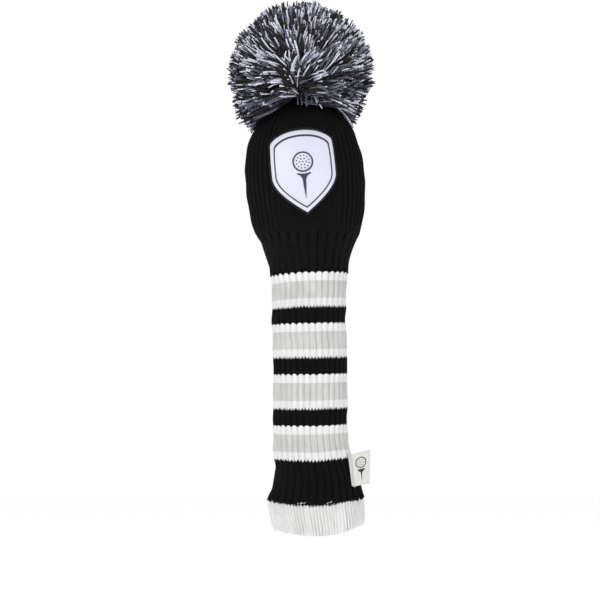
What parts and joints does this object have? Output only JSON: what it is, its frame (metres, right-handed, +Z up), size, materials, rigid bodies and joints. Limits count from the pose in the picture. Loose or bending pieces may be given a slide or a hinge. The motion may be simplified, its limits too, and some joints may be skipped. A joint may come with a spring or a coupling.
{
  "type": "golf head cover",
  "caption": "Knitted golf driver head cover: padded black head with a shield badge, long striped ribbed neck, flared turned cuff, side label and a yarn pom-pom on the crown.",
  "frame": {"origin": "on the neck's axis, in the plane of the cuff's mouth, where the club goes in", "axes": "+Z up the sleeve towards the pom-pom, -Y out of the badge, +X towards the side label"},
  "size_m": [0.134, 0.1316, 0.501],
  "materials": {
    "head_knit": "matte black ribbed knit with a fine sheen on the stitch legs",
    "stripe_white": "matte white ribbed knit",
    "stripe_grey": "matte warm light grey ribbed knit",
    "stripe_black": "matte black ribbed knit",
    "flare_knit": "matte black ribbed knit, stretched towards the cuff",
    "cuff_knit": "matte off-white ribbed knit, turned in double",
    "liner_fleece": "short brushed fleece",
    "elastic_tape": "woven elastic tape",
    "thread": "matte twisted polyester thread",
    "cuff_thread": "matte white overlock thread",
    "washer_felt": "pressed wool felt",
    "pompom_yarn": "cut yarn in black, slate grey and pale lavender",
    "badge_backing": "black twill backing",
    "badge_face": "satin moulded face with a soft sheen",
    "badge_print": "matte dark moulded lines",
    "label_tape": "off-white satin woven label tape"
  },
  "bodies": {
    "sleeve": {"head_sock": "head_knit", "head_gather": "head_knit", "head_liner": "liner_fleece", "flare_band": "flare_knit", "cuff": "cuff_knit", "cuff_elastic": "elastic_tape", "cuff_hem_stitching": "cuff_thread", "crown_gather_thread": "thread", "crown_backing_washer": "washer_felt", "badge_backing": "badge_backing", "badge_face": "badge_face", "badge_border_line": "badge_print", "badge_ball_motif": "badge_print", "badge_tee_motif": "badge_print", "label_stitching": "thread", "stripe_white_upper_1": "stripe_white", "stripe_grey_1": "stripe_grey", "stripe_white_lower_1": "stripe_white", "stripe_black_1": "stripe_black", "stripe_white_upper_2": "stripe_white", "stripe_grey_2": "stripe_grey", "stripe_white_lower_2": "stripe_white", "stripe_black_2": "stripe_black", "stripe_white_upper_3": "stripe_white", "stripe_grey_3": "stripe_grey", "stripe_white_lower_3": "stripe_white", "stripe_black_3": "stripe_black", "stripe_white_upper_4": "stripe_white", "stripe_grey_4": "stripe_grey", "stripe_white_lower_4": "stripe_white"},
    "pompom_tie": {"pompom_tie_cord": "thread"},
    "pompom": {"pompom_yarn": "pompom_yarn", "pompom_binding": "thread"},
    "label": {"side_label": "label_tape"}
  },
  "joints": [
    {"name": "pompom_sway", "type": "hinge", "parent": "sleeve", "child": "pompom_tie", "pos_m": [-0.00865, 0, 0.411], "axis": [0, 1, 0], "range_deg": [-10, 10], "stiffness_Nm_per_rad": 0.15},
    {"name": "pompom_nod", "type": "hinge", "parent": "pompom_tie", "child": "pompom", "pos_m": [-0.00865, 0, 0.411], "axis": [1, 0, 0], "range_deg": [-10, 10], "stiffness_Nm_per_rad": 0.15},
    {"name": "label_flap", "type": "hinge", "parent": "sleeve", "child": "label", "pos_m": [0.0393, -0.0151, 0.0612], "axis": [-0.0778, 0.3171, 0.9452], "range_deg": [-80, 25], "stiffness_Nm_per_rad": 0.0005}
  ]
}
